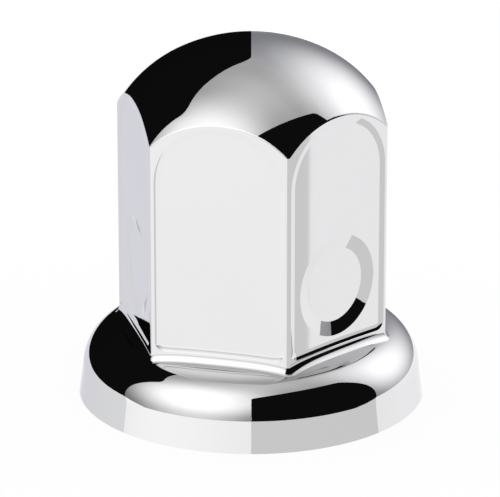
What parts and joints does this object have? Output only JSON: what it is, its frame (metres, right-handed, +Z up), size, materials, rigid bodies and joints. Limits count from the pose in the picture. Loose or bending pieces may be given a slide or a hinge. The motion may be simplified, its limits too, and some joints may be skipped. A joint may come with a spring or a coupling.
{
  "type": "wheel nut cover cap",
  "caption": "Push-on chrome cover for a hexagonal wheel nut: hexagonal barrel with sunk panels and dimples, rounded crown and a domed flange.",
  "frame": {"origin": "centre of the flange's rim, on the plane that the rim rests on", "axes": "+Z up the cap's axis towards the crown, -Y out of a plain flat, dimpled flats at -30, 90 and 210 degrees from +X"},
  "size_m": [0.054, 0.054, 0.0573],
  "materials": {
    "chrome_plating": "mirror-bright chrome plating over moulded plastic"
  },
  "bodies": {
    "root": {"nut_cover": "chrome_plating"}
  },
  "joints": []
}
